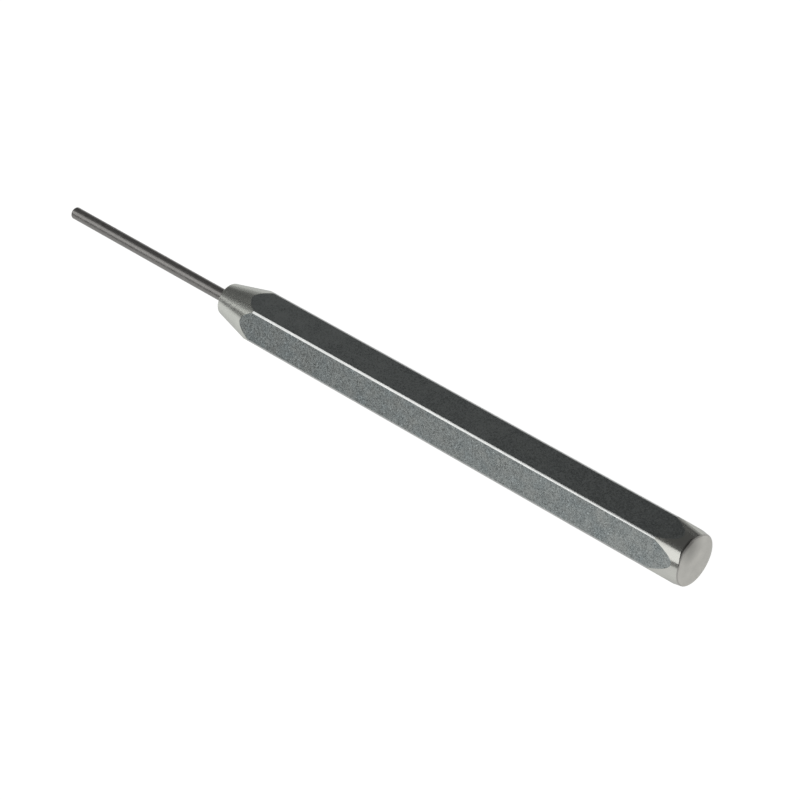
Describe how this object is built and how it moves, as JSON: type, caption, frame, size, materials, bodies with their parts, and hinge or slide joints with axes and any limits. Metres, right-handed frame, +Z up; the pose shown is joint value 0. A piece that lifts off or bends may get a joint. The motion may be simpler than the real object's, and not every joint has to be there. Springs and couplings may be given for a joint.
{
  "type": "pin punch",
  "caption": "Inserted pin punch: a hexagon bar body with a conical nose and tapered struck head, and a slim straight pin pressed into the nose for driving out pins.",
  "frame": {"origin": "on the surface that the punch lies on, under the middle of its length and width", "axes": "+X along the punch towards the struck head, with the working tip at -X, and +Z up out of the flat that it lies on"},
  "size_m": [0.15, 0.0114, 0.01],
  "materials": {
    "zinc_plated_steel": "zinc plate, satin on the turned ends and finely mottled on the flats",
    "ground_pin_steel": "hardened and ground, bare"
  },
  "bodies": {
    "root": {"hex_body": "zinc_plated_steel", "drive_pin": "ground_pin_steel"}
  },
  "joints": []
}
